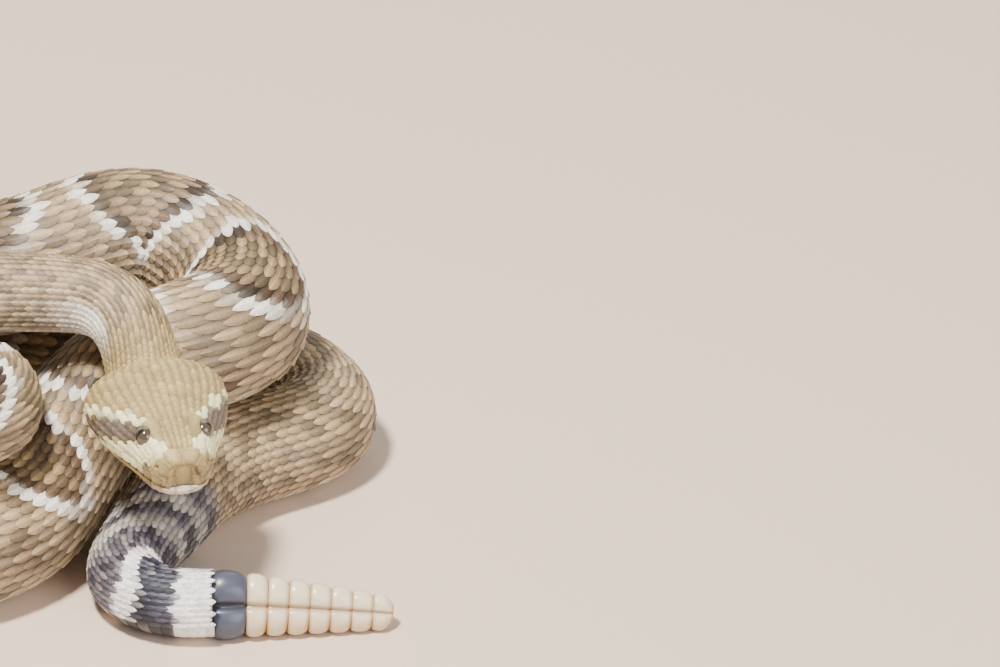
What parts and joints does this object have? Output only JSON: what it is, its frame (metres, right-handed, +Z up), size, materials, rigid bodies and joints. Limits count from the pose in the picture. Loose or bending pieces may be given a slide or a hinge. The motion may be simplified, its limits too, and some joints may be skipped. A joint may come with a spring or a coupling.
{
  "type": "western diamondback rattlesnake",
  "caption": "Still life-size western diamondback rattlesnake in an open coil, neck arched over its body, head level, ringed tail and rattle in front.",
  "frame": {"origin": "centre of the bounding box at the floor that the belly rests on", "axes": "+Z up, +X towards the rattle's tip, the head looks along -Y and a little +X"},
  "size_m": [0.1955, 0.15, 0.074],
  "materials": {
    "skin": "dry, keeled scales",
    "jaw_skin": "dry, smooth scales",
    "dark_skin": "dry",
    "horn": "dry horn",
    "eye": "wet gloss"
  },
  "bodies": {
    "root": {"head": "skin", "lower_jaw": "jaw_skin", "eye_right": "eye", "eye_left": "eye", "neck": "skin", "body_01": "skin", "body_02": "skin", "body_03": "skin", "body_04": "skin", "body_05": "skin", "body_06": "skin", "body_07": "skin", "body_08": "skin", "body_09": "skin", "body_10": "skin", "body_11": "skin", "body_12": "skin", "body_13": "skin", "body_14": "skin", "body_15": "skin", "body_16": "skin", "body_17": "skin", "tail_1": "skin", "tail_2": "skin", "rattle_base": "dark_skin", "rattle": "horn"}
  },
  "joints": []
}
